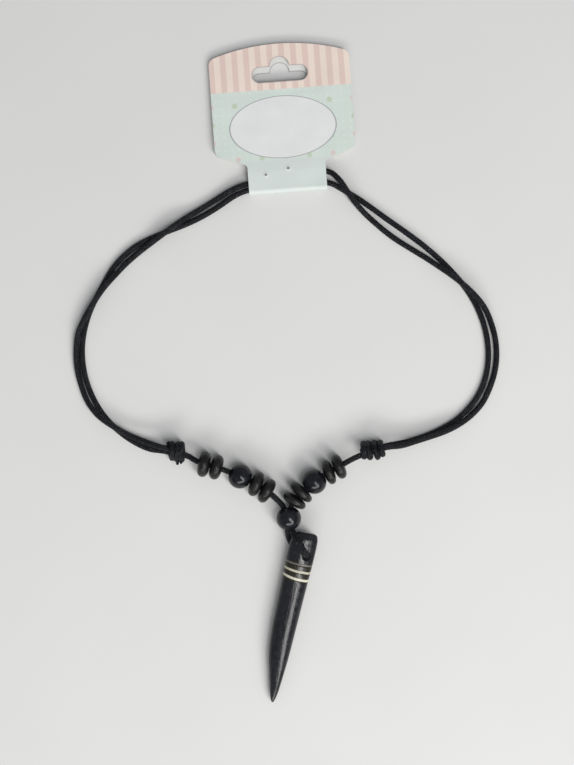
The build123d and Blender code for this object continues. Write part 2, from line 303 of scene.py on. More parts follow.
# %% Make a mesh from a grid of points
def surface(name, points, u_marks, capped=True):
    """A closed mesh of points[i, j] in mm, where i goes along the piece and j goes round it.

    Square (i, j) joins its corners at i, i + 1 and j, j + 1, and j wraps round. A capped grid
    is an open tube, and each end gets a fan of faces to the middle of its last ring.
    Otherwise i wraps round as well. The UV map holds the mark of i, and j as a share of a turn.
    """
    along, around = points.shape[:2]
    rows = along - 1 if capped else along
    i, j = np.meshgrid(np.arange(rows), np.arange(around), indexing="ij")
    next_i, next_j = (i + 1) % along, (j + 1) % around
    quads = np.stack(
        [i * around + j, next_i * around + j, next_i * around + next_j, i * around + next_j], -1
    ).reshape(-1, 4)
    marks = np.asarray(u_marks, float)
    if marks.ndim == 1:
        marks = np.repeat(marks[:, None], around, axis=1)
    marks_next = np.roll(marks, -1, axis=0)
    if not capped:
        marks_next[-1] = 2 * marks[-1] - marks[-2]
    v_low, v_high = j / around, (j + 1) / around
    quad_uv = np.stack([
        np.stack([marks[i, j], v_low], -1),
        np.stack([marks_next[i, j], v_low], -1),
        np.stack([marks_next[i, next_j], v_high], -1),
        np.stack([marks[i, next_j], v_high], -1),
    ], axis=-2).reshape(-1, 2)
    vertices = points.reshape(-1, 3)
    loops, sizes, uv = quads.ravel(), np.full(len(quads), 4), quad_uv
    if capped:
        poles = np.stack([points[0].mean(0), points[-1].mean(0)])
        vertices = np.concatenate([vertices, poles])
        ring = np.arange(around)
        next_in_ring = np.roll(ring, -1)
        last = (along - 1) * around
        first_fan = np.stack([np.full(around, along * around), ring, next_in_ring], -1)
        last_fan = np.stack(
            [np.full(around, along * around + 1), last + next_in_ring, last + ring], -1
        )
        loops = np.concatenate([loops, first_fan.ravel(), last_fan.ravel()])
        sizes = np.concatenate([sizes, np.full(2 * around, 3)])
        share = ring / around
        for row, order in ((0, (share, share, share + 1 / around)),
                           (-1, (share, share + 1 / around, share))):
            fan = np.stack([np.stack([marks[row], v], -1) for v in order], axis=1)
            uv = np.concatenate([uv, fan.reshape(-1, 2)])
    starts = np.concatenate([[0], np.cumsum(sizes)[:-1]])
    corner = vertices[quads]
    across = np.cross(corner[:, 2] - corner[:, 0], corner[:, 3] - corner[:, 1])
    if np.sum(corner.mean(1) * across) < 0:
        turn_round = np.repeat(starts, sizes) + np.repeat(sizes, sizes) - 1
        turn_round = turn_round - (np.arange(len(loops)) - np.repeat(starts, sizes))
        loops, uv = loops[turn_round], uv[turn_round]
    mesh = bpy.data.meshes.new(name)
    mesh.vertices.add(len(vertices))
    mesh.vertices.foreach_set("co", (vertices * MM).astype(np.float32).ravel())
    mesh.loops.add(len(loops))
    mesh.loops.foreach_set("vertex_index", loops.astype(np.int32))
    mesh.polygons.add(len(sizes))
    mesh.polygons.foreach_set("loop_start", starts.astype(np.int32))
    mesh.polygons.foreach_set("use_smooth", np.ones(len(sizes), bool))
    layer = mesh.uv_layers.new(name="surface")
    layer.data.foreach_set("uv", uv.astype(np.float32).ravel())
    mesh.update(calc_edges=True)
    mesh.validate()
    return mesh


def piece(name, mesh, stands_for, slot):
    """Puts the mesh in the scene, fixed to the frame, in place of the CAD node it stands for."""
    made = bpy.data.objects.new(name, mesh)
    bpy.context.scene.collection.objects.link(made)
    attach(made, "root")
    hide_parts(stands_for)
    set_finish(made, slot)
    return made


def joined(name, meshes):
    """One mesh of several closed ones, which keeps their UV maps."""
    parts = [bpy.data.objects.new(name, mesh) for mesh in meshes]
    for part in parts:
        bpy.context.scene.collection.objects.link(part)
    with bpy.context.temp_override(active_object=parts[0], selected_editable_objects=parts):
        bpy.ops.object.join()
    mesh = parts[0].data
    bpy.data.objects.remove(parts[0])
    return mesh


# %% [markdown]
# ## The braided cord
#
# The cord is woven from fine strands that wind round it both ways and pass over and under
# each other. A plain tube would look like wire. Here the tube's radius follows the weave: at
# each point, one formula says which strand lies on top and how high it stands. Where the
# cord is pulled flat over the fang's front, its section is lower and wider.


# %% Carry a ring of points along a line
def unit(vectors):
    """Each vector divided by its length."""
    return vectors / np.linalg.norm(vectors, axis=-1, keepdims=True)


def tube_grid(line, radius, reference, press):
    """Grid of points of a tube: line(i) + radius(i, j) * (side(i) cos a(j) + over(i) sin a(j)).

    The side direction is square to the line and to the reference, which the line never runs
    along, and over is square to both. The angle a goes once round with j. Where the cord is
    pressed flat, its height is times 1 - press(i) and its width times 1 + press(i).
    """
    heading = unit(np.gradient(line, axis=0))
    side = unit(np.cross(heading, np.asarray(reference, float)))
    over = np.cross(side, heading)
    angle = 2 * np.pi * np.arange(radius.shape[1]) / radius.shape[1]
    out = side[:, None] * np.cos(angle)[None, :, None] + over[:, None] * np.sin(angle)[None, :, None]
    squeeze = np.stack([1 + press, 1 + press, 1 - press], axis=1)
    return line[:, None] + radius[..., None] * out * squeeze[:, None]


def weave_height(along, turn, strands, pitch):
    """Height from 0 to 1 of a braid at a distance along the cord and a share of a turn.

    Two families of strands wind opposite ways: strands * (turn + along / pitch) and
    strands * (turn - along / pitch). Whole parts of both, added, say which family is on top:
    the first where the sum is even. A strand is a hump across its width, and it rises between
    the strands that it passes over.
    """
    first = strands * (turn + along / pitch)
    second = strands * (turn - along / pitch)
    first_on_top = (np.floor(first) + np.floor(second)) % 2 == 0
    across_first = 1 - (2 * (first % 1) - 1) ** 2
    across_second = 1 - (2 * (second % 1) - 1) ** 2
    first_height = across_first ** 0.7 * (0.55 + 0.45 * np.sin(np.pi * (second % 1)))
    second_height = across_second ** 0.7 * (0.55 + 0.45 * np.sin(np.pi * (first % 1)))
    return np.where(first_on_top, first_height, second_height)


braid_strands = 7
braid_pitch = 9.0
weave_depth = 0.09
cord_slack = 0.02
cord_swells = [
    # share of the radius, millimetres to a radian, start in radians
    (0.012, 3.1, 0.0),
    (0.010, 1.7, 1.0),
]


def braided_tube(name, line, radius, reference, around=42, end_round=0.5, press=0.0):
    """A tube whose radius is the cord's, less some slack and the weave's depth between strands.

    The radius swells and shrinks slowly by a sum of sines of the distance along the cord.
    Towards each end it narrows like a quarter of a circle over end_round mm.
    """
    length = running_length(line)
    turn = np.arange(around) / around
    height = weave_height(length[:, None], turn[None, :], braid_strands, braid_pitch)
    swell = sum(share * np.sin(length / stretch + start) for share, stretch, start in cord_swells)
    radii = radius * (1 - cord_slack + swell[:, None]) - weave_depth * (1 - height)
    to_end = np.minimum(length, length[-1] - length) / end_round
    radii = radii * np.sqrt(np.clip(1 - (1 - np.clip(to_end, 0.02, 1)) ** 2, 0, 1))[:, None]
    press = np.broadcast_to(press, len(line))
    return surface(name, tube_grid(line, radii, reference, press), length)


# %% The two neck strands and the strand through the beads
upwards = (0, 0, 1)
leaning = (-0.50, -0.30, 0.81)
fang_front_from = 5.3
fang_front_to = 7.2
pressed_flat = 0.24
for name, line in cord_lines.items():
    on_the_front = np.clip((line[:, 2] - fang_front_from) / (fang_front_to - fang_front_from), 0, 1)
    mesh = braided_tube(
        name, line, cord_radius, leaning if name == "bead_cord" else upwards,
        press=pressed_flat * on_the_front,
    )
    piece(f"{name}_braid", mesh, name, "cord")
    print(f"{name}: {len(mesh.polygons)} faces")

for name in ("neck_cord_a", "neck_cord_b"):
    line = cord_lines[name] * MM

# %% [markdown]
# ## The sliding knots
#
# Each end of the cord is tied round the other strand in nearly four turns, and slides on it.
# The wrapping strand is one line: it comes through the knot, turns outwards at the bead side
# and winds back over both strands. The CAD knots are four even rings, and these replace them:
# hand-tied wraps crowd at one end, spread and lean at the other, and lie flat on the surface.

# %% Wind each knot round its two strands
wrap_wire_radius = 0.875
wrap_turns = 3.9
strand_offset = 0.975
wrap_side_gap = 0.10
wrap_points = 500
wrap_ease_turns = 0.35
wrap_lead = 2.6
wrap_step = 0.1
winding_step = 0.25
averaged_points = 9
surface_gap = 0.03
knot_leaning = (1.0, 0.35, 0.2)
knots = [
    # name, x, y, turn of the wraps, roll, side of the strand that runs through, wrap radius
    ("knot_left", -31.0, -24.4, -3, 60, -1, 0.90),
    ("knot_right", 30.8, -23.85, 187, 70, 1, 1.0),
]
knot_wraps = {
    # turns so far: distance along the knot, reach from the strands, lean, shift across
    "knot_left": {
        0.0: (2.40, 2.05, 0.0, 0.0),
        1.0: (1.95, 2.05, 0.0, 0.0),
        2.0: (0.85, 2.00, 0.10, 0.0),
        3.0: (-0.75, 1.90, 0.22, -0.08),
        4.0: (-1.80, 1.70, 0.20, -0.10),
    },
    "knot_right": {
        0.0: (3.30, 1.75, 0.05, 0.20),
        0.5: (3.05, 1.70, 0.05, 0.28),
        1.5: (1.42, 1.88, 0.30, -0.05),
        2.5: (-0.60, 1.93, 0.44, -0.10),
        3.5: (-2.50, 1.50, 0.34, 0.20),
        4.0: (-3.10, 1.40, 0.30, 0.20),
    },
}
knot_stubs = {
    # cut ends: distance along the knot, turn round it, how far it stands out, radius
    "knot_left": ((0.70, 42, 4.25, 0.50), (1.80, 34, 3.80, 0.46)),
    "knot_right": ((-1.15, -165, 3.45, 0.50),),
}
stub_starts_at = 1.6
stub_lean = 0.3
stub_bend = 0.25
stub_points = 14


def wrapping_line(through, wraps):
    """Middle line of the wrapping strand in the knot's own frame, x along the strands.

    At turn t the strand is at x = place(t) + lean(t) * z, and round the pair of strands at
    y = offset * tanh(4 cos a) + reach(t) * cos a, z = reach(t) * sin a + shift(t), nearly a
    stadium. For the first part of a turn it comes out of the tunnel of the tied strand, so y
    and z grow smoothly from there. Averaging over its neighbours takes out the last corner.
    """
    turns = np.linspace(0, wrap_turns, wrap_points)
    marks = np.array(list(wraps))
    table = np.array(list(wraps.values()))
    place, reach, lean, shift = (smooth_between(marks, table[:, k], turns) for k in range(4))
    angle = (0 if through < 0 else np.pi) + 2 * np.pi * turns
    height = reach * np.sin(angle) + shift
    ring = np.stack([
        place + lean * height,
        strand_offset * np.tanh(4 * np.cos(angle)) + reach * np.cos(angle),
        height,
    ], axis=1)
    ease = np.clip(turns / wrap_ease_turns, 0, 1)
    ease = (ease ** 2 * (3 - 2 * ease))[:, None]
    tunnel = np.array([0, -through * strand_offset, 0])
    wound = ring * [1, 0, 0] + (1 - ease) * tunnel + ease * ring * [0, 1, 1]
    first, last = place[0] - wrap_lead, place[0] - wrap_step
    lead = np.linspace([first, *tunnel[1:]], [last, *tunnel[1:]], 25)
    line = even_steps(np.concatenate([lead, wound]), wrap_step)
    weights = np.hanning(averaged_points) / np.hanning(averaged_points).sum()
    padded = np.pad(line, ((averaged_points // 2,) * 2, (0, 0)), mode="edge")
    return np.stack([np.convolve(padded[:, k], weights, "valid") for k in range(3)], axis=1)


def turned(points, axis, degrees):
    """The points turned round one axis: the other two coordinates mix by cosine and sine."""
    angle = np.radians(degrees)
    first, second = [(1, 2), (2, 0), (0, 1)][axis]
    out = np.array(points, float)
    out[..., first] = np.cos(angle) * points[..., first] - np.sin(angle) * points[..., second]
    out[..., second] = np.sin(angle) * points[..., first] + np.cos(angle) * points[..., second]
    return out


def knot_to_frame(points, x, y, turn, roll):
    """Rolls the knot, turns it towards the beads and sets it on the surface."""
    level = surface_gap + 2 * wrap_wire_radius + wrap_side_gap + cord_radius
    level = level + strand_offset * np.sin(np.radians(roll))
    return turned(turned(points, 0, roll), 2, turn) + [x, y, level]


for name, x, y, turn, roll, through, radius in knots:
    line = wrapping_line(through, knot_wraps[name])
    winding = even_steps(knot_to_frame(line, x, y, turn, roll), winding_step)
    winding[:, 2] = np.maximum(winding[:, 2], surface_gap + radius)
    meshes = [braided_tube(name, winding, radius, knot_leaning, around=36)]
    for along, stub_turn, reaches, stub_radius in knot_stubs[name]:
        root, tip = [along, 0, stub_starts_at], [along + stub_lean, 0, reaches]
        stub = np.linspace(root, tip, stub_points)
        stub[:, 1] = stub_bend * np.sin(np.linspace(0, 2, stub_points))
        stub = knot_to_frame(turned(stub, 0, stub_turn), x, y, turn, roll)
        meshes.append(braided_tube(name, stub, stub_radius, knot_leaning, around=30, end_round=0.35))
    mesh = joined(f"{name}_wraps", meshes)
    piece(f"{name}_wraps", mesh, name, "cord")
    wound_length = running_length(winding)[-1]
    print(f"{name}: {wound_length:.1f} mm of strand in its wraps, {len(mesh.polygons)} faces")

# %% [markdown]
# ## Round beads and discs
#
# Beads are turned, so their surface is an outline carried round an axis. The outline here is
# closed, and it runs down the bore as well as over the outside. Averaging each point with
# its neighbours rounds the corners at the bore's mouth, as tumbling does to a real bead.

# %% Outlines of the round bead and the disc
round_bead_diameter = 7.8
round_bead_length = 7.0
centre_bead_length = 7.25
single_bore = 2.7
double_bore = 4.0
disc_face_rise = 0.35
disc_rim_depth = 0.95
crown_depth_share = 0.55
crown_rise_share = 0.72
bead_step, bead_averaging = 0.11, 0.30
disc_step, disc_averaging = 0.10, 0.16


def arc_through(start, middle, end, count=60):
    """Points of the circle arc through three points, from start to end.

    The centre is where the right bisectors of the two chords meet.
    """
    start, middle, end = (np.asarray(p, float) for p in (start, middle, end))
    sides = 2 * np.array([middle - start, end - middle])
    sums = np.array([middle @ middle - start @ start, end @ end - middle @ middle])
    centre = np.linalg.solve(sides, sums)
    angles = np.unwrap([np.arctan2(*(p - centre)[::-1]) for p in (start, middle, end)])
    sweep = np.linspace(angles[0], angles[2], count)
    return centre + np.hypot(*(start - centre)) * np.stack([np.cos(sweep), np.sin(sweep)], axis=1)


def evened(outline, step, reach):
    """A closed outline with equal steps, each point averaged over its neighbours within reach."""
    closed = np.concatenate([outline, outline[:1]])
    length = running_length(closed)
    count = round(length[-1] / step)
    stations = np.arange(count) * length[-1] / count
    even = np.stack([np.interp(stations, length, closed[:, k]) for k in (0, 1)], axis=1)
    half = max(1, round(reach / step))
    shifts = range(-half, half + 1)
    return sum(np.roll(even, shift, axis=0) for shift in shifts) / (2 * half + 1)


def round_bead_outline(length, bore):
    """(distance from the axis, distance along it): an arc over the outside, and the bore.

    The length is that of a bead with a single bore, and a wider bore shortens it.
    """
    half, narrow = length / 2, single_bore / 2
    outside = arc_through((narrow, half), (round_bead_diameter / 2, 0), (narrow, -half), 200)
    outside = outside[outside[:, 0] >= bore / 2]
    down_bore = np.linspace(outside[-1], outside[0], 60) * [0, 1] + [bore / 2, 0]
    return evened(np.concatenate([outside, down_bore]), bead_step, bead_averaging)


def disc_outline(diameter, thickness):
    """(distance from the axis, distance along it): two low crowns, a round rim and the bore."""
    bore, rim = single_bore / 2, diameter / 2
    shoulder = rim - disc_rim_depth
    face, edge = thickness / 2, thickness / 2 - disc_face_rise
    crown = (bore + (shoulder - bore) * crown_depth_share, edge + (face - edge) * crown_rise_share)
    top = arc_through((bore, face), crown, (shoulder, edge))
    round_rim = arc_through((shoulder, edge), (rim, 0), (shoulder, -edge))
    bottom = arc_through((shoulder, -edge), (crown[0], -crown[1]), (bore, -face))
    down_bore = np.linspace((bore, -face), (bore, face), 30)
    return evened(np.concatenate([top, round_rim, bottom, down_bore]), disc_step, disc_averaging)


print(len(round_bead_outline(round_bead_length, single_bore)), "points round a bead's outline")

# %% Turn them about their holes
around_bead = 96
disc_wobble = -0.006
round_beads = [
    # name, x, y, z, turn of the hole from +X, length, bore
    ("round_bead_left", -10.7, -32.1, 4.10, -22, round_bead_length, single_bore),
    ("round_bead_right", 12.4, -33.8, 4.10, 38, round_bead_length, single_bore),
    ("round_bead_centre", 4.44, -45.2, 4.4, -84, centre_bead_length, double_bore),
]
discs = [
    # name, x, y, turn, diameter, thickness at the hole
    ("disc_left_1", -22.0, -28.3, -11, 8.2, 3.7),
    ("disc_left_2", -18.1, -29.3, -16, 7.9, 3.7),
    ("disc_left_3", -5.7, -34.5, -24, 8.15, 3.6),
    ("disc_left_4", -2.4, -36.65, -31, 8.15, 3.6),
    ("disc_right_1", 6.2, -39.7, 58, 8.0, 3.1),
    ("disc_right_2", 8.3, -37.0, 47, 8.4, 3.1),
    ("disc_right_3", 16.95, -30.85, 22, 7.9, 3.2),
    ("disc_right_4", 20.1, -29.1, 22, 8.0, 3.4),
]


def turned_piece(name, outline, middle, turn, wobble=0.0, seed=0):
    """Point (i, j) is the middle + axial(i) along the hole + radius(i) (square cos a + up sin a).

    Wobble is how far, as a share of its radius, a hand-finished rim strays from a circle.
    """
    angle = 2 * np.pi * np.arange(around_bead) / around_bead
    stray = np.sin(2 * angle + seed) + 0.6 * np.sin(3 * angle + 2.3 * seed)
    beyond_bore = np.clip(outline[:, 0] - single_bore / 2, 0, None)
    radius = outline[:, :1] + wobble * beyond_bore[:, None] * stray
    hole = np.array([np.cos(np.radians(turn)), np.sin(np.radians(turn)), 0])
    square = np.array([-hole[1], hole[0], 0])
    out = square * np.cos(angle)[:, None] + np.array([0, 0, 1.0]) * np.sin(angle)[:, None]
    points = np.asarray(middle) + outline[:, 1, None, None] * hole + radius[..., None] * out
    outline_length = running_length(np.concatenate([outline, outline[:1]]))[:-1]
    return surface(name, points, outline_length, capped=False)


bead_pieces = []
for name, x, y, z, turn, length, bore in round_beads:
    mesh = turned_piece(name, round_bead_outline(length, bore), (x, y, z), turn)
    bead_pieces.append(piece(f"{name}_turned", mesh, name, "round_bead"))

disc_pieces = []
for number, (name, x, y, turn, diameter, thickness) in enumerate(discs):
    middle = (x, y, diameter / 2 + surface_gap)
    outline = disc_outline(diameter, thickness)
    mesh = turned_piece(name, outline, middle, turn, wobble=disc_wobble, seed=number)
    disc_pieces.append(piece(f"{name}_turned", mesh, name, "disc"))
print(len(bead_pieces), "round beads and", len(disc_pieces), "discs")

# %% [markdown]
# ## The fang
#
# The fang is carved from one piece: an oval section that swells, bends a little and runs out
# to a point. Its measures are given at a few shares of its length, and a smooth curve through
# them gives every ring of the grid. Three thin rings are let into it, and a hole is drilled
# through it for the cord. The drilling is a boolean cut, because a grid can't hold a hole.

# %% Measures of the fang
fang_length = 54.4
fang_width = 8.6
fang_depth = 5.8
fang_bend = 1.0
fang_hole = 1.98
fang_hole_flare = 0.22
fang_hole_from_end = 7.3
fang_hole_from_middle = 1.75
fang_top = (9.65, -49.5, 4.7)
fang_heading = -100.8
fang_dip = 2.75
fang_roll = 3.0
fang_sections = np.array([
    # share of length, share of width, share of depth, share of bend
    (0.000, 0.600, 0.40, -0.45),
    (0.008, 0.765, 0.54, -0.38),
    (0.026, 0.895, 0.66, -0.26),
    (0.065, 0.975, 0.75, -0.08),
    (0.120, 0.995, 0.81, 0.06),
    (0.190, 0.985, 0.88, 0.19),
    (0.270, 0.960, 0.94, 0.37),
    (0.360, 0.930, 0.98, 0.57),
    (0.460, 0.905, 1.00, 0.78),
    (0.550, 0.880, 1.00, 0.95),
    (0.650, 0.820, 0.98, 1.00),
    (0.740, 0.725, 0.92, 0.92),
    (0.820, 0.565, 0.79, 0.66),
    (0.890, 0.420, 0.62, 0.44),
    (0.945, 0.290, 0.43, 0.30),
    (0.983, 0.150, 0.22, 0.20),
    (1.000, 0.055, 0.08, 0.16),
])
ring_bands = [
    # distance from the drilled end, width, lean across the fang in degrees
    (9.7, 0.40, -2.4),
    (11.85, 0.60, -4.2),
    (14.2, 0.70, -6.0),
]


def fang_to_frame(points):
    """Rolls the fang, dips its tip and lays it along its heading."""
    dipped = turned(turned(points, 0, fang_roll), 1, fang_dip)
    return turned(dipped, 2, fang_heading) + np.array(fang_top)


# %% Work out the fang's surface and drill it
end_round = 0.4
end_share = 0.0085
tip_share = 0.03
tip_round = 0.35
inlay_dip = 0.05
ring_sag = 0.20
around_fang = 128
knife_marks = [
    # depth in mm, marks round the fang, start in radians, millimetres along to a radian
    (0.030, 3, 1.4, 9.0),
    (0.020, 5, 0.0, -6.0),
]


def fang_mesh():
    """Point (s, a) is s along the axis, w(s) cos a - bend(s) across and d(s) sin a up.

    Here w and d are half the oval's width and depth. Near the drilled end both shrink by a
    quarter circle of end_round, and at a ring they dip a little where the inlay is worn. Slow
    waves round it are the marks of the knife, depth * sin(marks * a + start + s / stretch),
    and they fade out at both ends.
    """
    stations = np.concatenate([
        end_round * (1 - np.cos(np.linspace(0, np.pi / 2, 9))) / fang_length,
        np.linspace(end_share, 1 - tip_share, 330),
        1 - tip_share * (1 - np.linspace(0, 1, 20)[1:]) ** 1.5,
    ])
    shares = [smooth_between(fang_sections[:, 0], fang_sections[:, k], stations) for k in (1, 2, 3)]
    width, depth, bend = fang_width / 2 * shares[0], fang_depth / 2 * shares[1], fang_bend * shares[2]
    from_end = stations * fang_length
    short_of_round = np.clip(end_round - from_end, 0, None)
    shrink = end_round - np.sqrt(np.clip(end_round**2 - short_of_round**2, 0, None))
    from_tip = (1 - stations) * fang_length
    blunt = np.sqrt(np.clip(1 - (1 - np.clip(from_tip / tip_round, 0, 1)) ** 2, 0.001, 1))
    angle = 2 * np.pi * np.arange(around_fang) / around_fang
    across = np.cos(angle)[None, :]
    dip = np.zeros((len(stations), len(angle)))
    for place, band, tilt in ring_bands:
        shift = from_end[:, None] + np.tan(np.radians(tilt)) * width[:, None] * across - place
        shift = shift - ring_sag * depth[:, None] * np.sin(angle)[None, :]
        dip += inlay_dip * np.exp(-((shift / (0.7 * band)) ** 4))
    knife = sum(
        deep * np.sin(marks * angle[None, :] + start + from_end[:, None] / stretch)
        for deep, marks, start, stretch in knife_marks
    )
    knife = knife * np.clip(from_tip / 8, 0, 1)[:, None] * np.clip(from_end / 3, 0, 1)[:, None]
    half_width = (width - shrink)[:, None] * blunt[:, None] - dip + knife
    half_depth = (depth - shrink)[:, None] * blunt[:, None] - dip + knife
    points = np.stack([
        np.repeat(from_end[:, None], len(angle), axis=1),
        -bend[:, None] + half_width * across,
        half_depth * np.sin(angle)[None, :],
    ], axis=-1)
    return surface("fang", fang_to_frame(points), from_end)


drill_bottom, drill_top = -4.0, 14.0
drilled_half_depth = 2.2
mouth_depth = 0.35
around_drill = 48
cord_near_hole = 1.2


def drill_mesh():
    """A drill along the cord, whose middle is the cord's at each height.

    Its radius is half the hole, and grows by flare * exp(-depth / mouth depth) at both mouths.
    """
    mouths = np.array([
        [fang_hole_from_end, fang_hole_from_middle, z] for z in (-drilled_half_depth, drilled_half_depth)
    ])
    low, high = fang_to_frame(mouths)[:, 2]
    heights = np.concatenate([
        [drill_bottom],
        np.linspace(low - 0.8, low + 1.2, 24),
        np.linspace(high - 1.2, high + 0.8, 24),
        [drill_top],
    ])
    inside = np.clip(np.minimum(heights - low, high - heights), 0, None)
    radius = fang_hole / 2 + fang_hole_flare * np.exp(-inside / mouth_depth)
    start = turned(np.array([fang_hole_from_end, fang_hole_from_middle, 0.0]), 2, fang_heading)
    upright = start[:2] + np.array(fang_top[:2])
    cord = cord_lines["bead_cord"]
    cord = cord[np.linalg.norm(cord[:, :2] - upright, axis=1) < cord_near_hole]
    middle = np.stack([np.interp(heights, cord[:, 2], cord[:, k]) for k in (0, 1)], axis=1)
    angle = 2 * np.pi * np.arange(around_drill) / around_drill
    points = np.stack([
        middle[:, 0, None] + radius[:, None] * np.cos(angle),
        middle[:, 1, None] + radius[:, None] * np.sin(angle),
        np.repeat(heights[:, None], len(angle), axis=1),
    ], axis=-1)
    return surface("drill", points, heights)


fang_piece = piece("fang_carved", fang_mesh(), "fang", "fang")
drill = bpy.data.objects.new("drill", drill_mesh())
bpy.context.scene.collection.objects.link(drill)
cut = fang_piece.modifiers.new("hole", "BOOLEAN")
cut.operation = "DIFFERENCE"
cut.solver = "EXACT"
cut.object = drill
depsgraph = bpy.context.evaluated_depsgraph_get()
drilled = bpy.data.meshes.new_from_object(fang_piece.evaluated_get(depsgraph))
fang_piece.modifiers.clear()
fang_piece.data = drilled
fang_piece.data.name = "fang"
drilled.set_sharp_from_angle(angle=np.radians(40))
bpy.data.objects.remove(drill)
corners = np.empty(len(drilled.vertices) * 3)
drilled.vertices.foreach_get("co", corners)
print(f"Fang: {len(drilled.polygons)} faces, tip at y {corners[1::3].min() / MM:.1f} mm")

# %% [markdown]
# ## Finishes
#
# A finish is a tree of shader nodes. Effects that several finishes share, such as grain,
# blotches, scratches and dust, are node groups, built once. Each gives back a mask or a
# height, and the finish decides what it does to its own colour, gloss and relief.


# %% Small helpers for node trees
def feed(tree, socket, value):
    """Links the socket to another socket, or sets it to a plain value."""
    if isinstance(value, bpy.types.NodeSocket):
        tree.links.new(value, socket)
    else:
        socket.default_value = value


def add_node(tree, kind, values=None, **settings):
    """A new node with its settings, and with its named sockets linked or set."""
    made = tree.nodes.new(kind)
    for key, value in settings.items():
        setattr(made, key, value)
    for key, value in (values or {}).items():
        feed(tree, made.inputs[key], value)
    return made


def calc(tree, operation, *values):
    """One Math node: its sockets by order, and its result."""
    made = add_node(tree, "ShaderNodeMath", operation=operation)
    for socket, value in zip(made.inputs, values):
        feed(tree, socket, value)
    return made.outputs[0]


def from_middle(tree, first, second):
    """How far a place is from a middle: the root of the sum of the squares of two distances."""
    squares = calc(tree, "MULTIPLY_ADD", first, first, calc(tree, "MULTIPLY", second, second))
    return calc(tree, "SQRT", squares)


def blend(tree, share, first, second):
    """Mixes two colours by a share from 0 to 1."""
    made = add_node(tree, "ShaderNodeMix", data_type="RGBA")
    # The colour sockets of a Mix node come after those for numbers and vectors.
    feed(tree, made.inputs[0], share)
    feed(tree, made.inputs[6], first)
    feed(tree, made.inputs[7], second)
    return made.outputs[2]


def tint(tree, base, mask, strength, colour):
    """Lays a colour over the base where the mask is, as strongly as the strength says."""
    return blend(tree, calc(tree, "MULTIPLY", mask, strength), base, colour)


def noise(tree, place, scale, detail, **more):
    """Smooth noise from 0 to 1, with about this many features to the unit of the place."""
    values = {"Vector": place, "Scale": scale, "Detail": detail, **more}
    return add_node(tree, "ShaderNodeTexNoise", values).outputs["Fac"]


def ramp(tree, value, low, high, start=0.0, end=1.0):
    """Goes smoothly from start to end while the value goes from low to high."""
    made = add_node(tree, "ShaderNodeMapRange", {
        "Value": value, "From Min": low, "From Max": high, "To Min": start, "To Max": end,
    }, interpolation_type="SMOOTHSTEP")
    return made.outputs["Result"]


def split(tree, vector):
    """The three numbers of a vector."""
    return add_node(tree, "ShaderNodeSeparateXYZ", {"Vector": vector}).outputs


def shared_effect(name, inputs, outputs):
    """A new shader node group: its tree, the sockets that feed it, and those it gives back."""
    tree = bpy.data.node_groups.new(name, "ShaderNodeTree")
    for label, kind, value in inputs:
        socket = tree.interface.new_socket(name=label, in_out="INPUT", socket_type=kind)
        if value is not None:
            socket.default_value = value
    for label in outputs:
        tree.interface.new_socket(name=label, in_out="OUTPUT", socket_type="NodeSocketFloat")
    return tree, tree.nodes.new("NodeGroupInput").outputs, tree.nodes.new("NodeGroupOutput").inputs


def effect(tree, group, **values):
    """Places a shared effect in a finish, with its own values."""
    made = tree.nodes.new("ShaderNodeGroup")
    made.node_tree = group
    for key, value in values.items():
        feed(tree, made.inputs[key], value)
    return made.outputs


def finish_tree(name):
    """A new material with its Principled BSDF."""
    made = bpy.data.materials.new(name)
    made.use_nodes = True
    tree = made.node_tree
    tree.nodes.clear()
    shader = tree.nodes.new("ShaderNodeBsdfPrincipled")
    output = tree.nodes.new("ShaderNodeOutputMaterial")
    tree.links.new(shader.outputs["BSDF"], output.inputs["Surface"])
    return made, tree, shader.inputs


def surface_uv(tree):
    """The UV map's numbers: X is mm along the piece or its outline, Y the share of a turn."""
    return split(tree, add_node(tree, "ShaderNodeUVMap", uv_map="surface").outputs["UV"])


def in_millimetres(tree, middle=(0, 0, 0), turn=0.0):
    """Object coordinates in mm from a chosen middle, turned to lie along the piece."""
    place = add_node(tree, "ShaderNodeTexCoord").outputs["Object"]
    made = add_node(tree, "ShaderNodeMapping", {
        "Vector": place,
        "Location": tuple(x * MM for x in middle),
        "Rotation": (0, 0, np.radians(turn)),
        "Scale": (MM, MM, MM),
    }, vector_type="TEXTURE")
    return made.outputs["Vector"]


def relief(tree, height, depth, under=None):
    """A Bump node that raises the surface by up to depth mm where the height is 1."""
    values = {"Height": height, "Distance": depth * MM, "Strength": 1.0}
    if under is not None:
        values["Normal"] = under
    return add_node(tree, "ShaderNodeBump", values).outputs["Normal"]


def dress(objects, material):
    """Gives each object this one material."""
    for made in objects:
        made.data.materials.clear()
        made.data.materials.append(material)


print("Helpers are ready")

# %% [markdown]
# Noise is the base of most natural variation. The groups below read coordinates in
# millimetres, so a scale of 2 means two features to the millimetre on every piece.

# %% Blotches and streaks
blotches, given, back = shared_effect("Blotches", [
    ("Vector", "NodeSocketVector", None),
    ("Scale", "NodeSocketFloat", 0.5),
    ("Low", "NodeSocketFloat", 0.4),
    ("High", "NodeSocketFloat", 0.6),
], ["Mask"])
cloud = noise(blotches, given["Vector"], given["Scale"], 4.0, Roughness=0.6)
feed(blotches, back["Mask"], ramp(blotches, cloud, given["Low"], given["High"]))

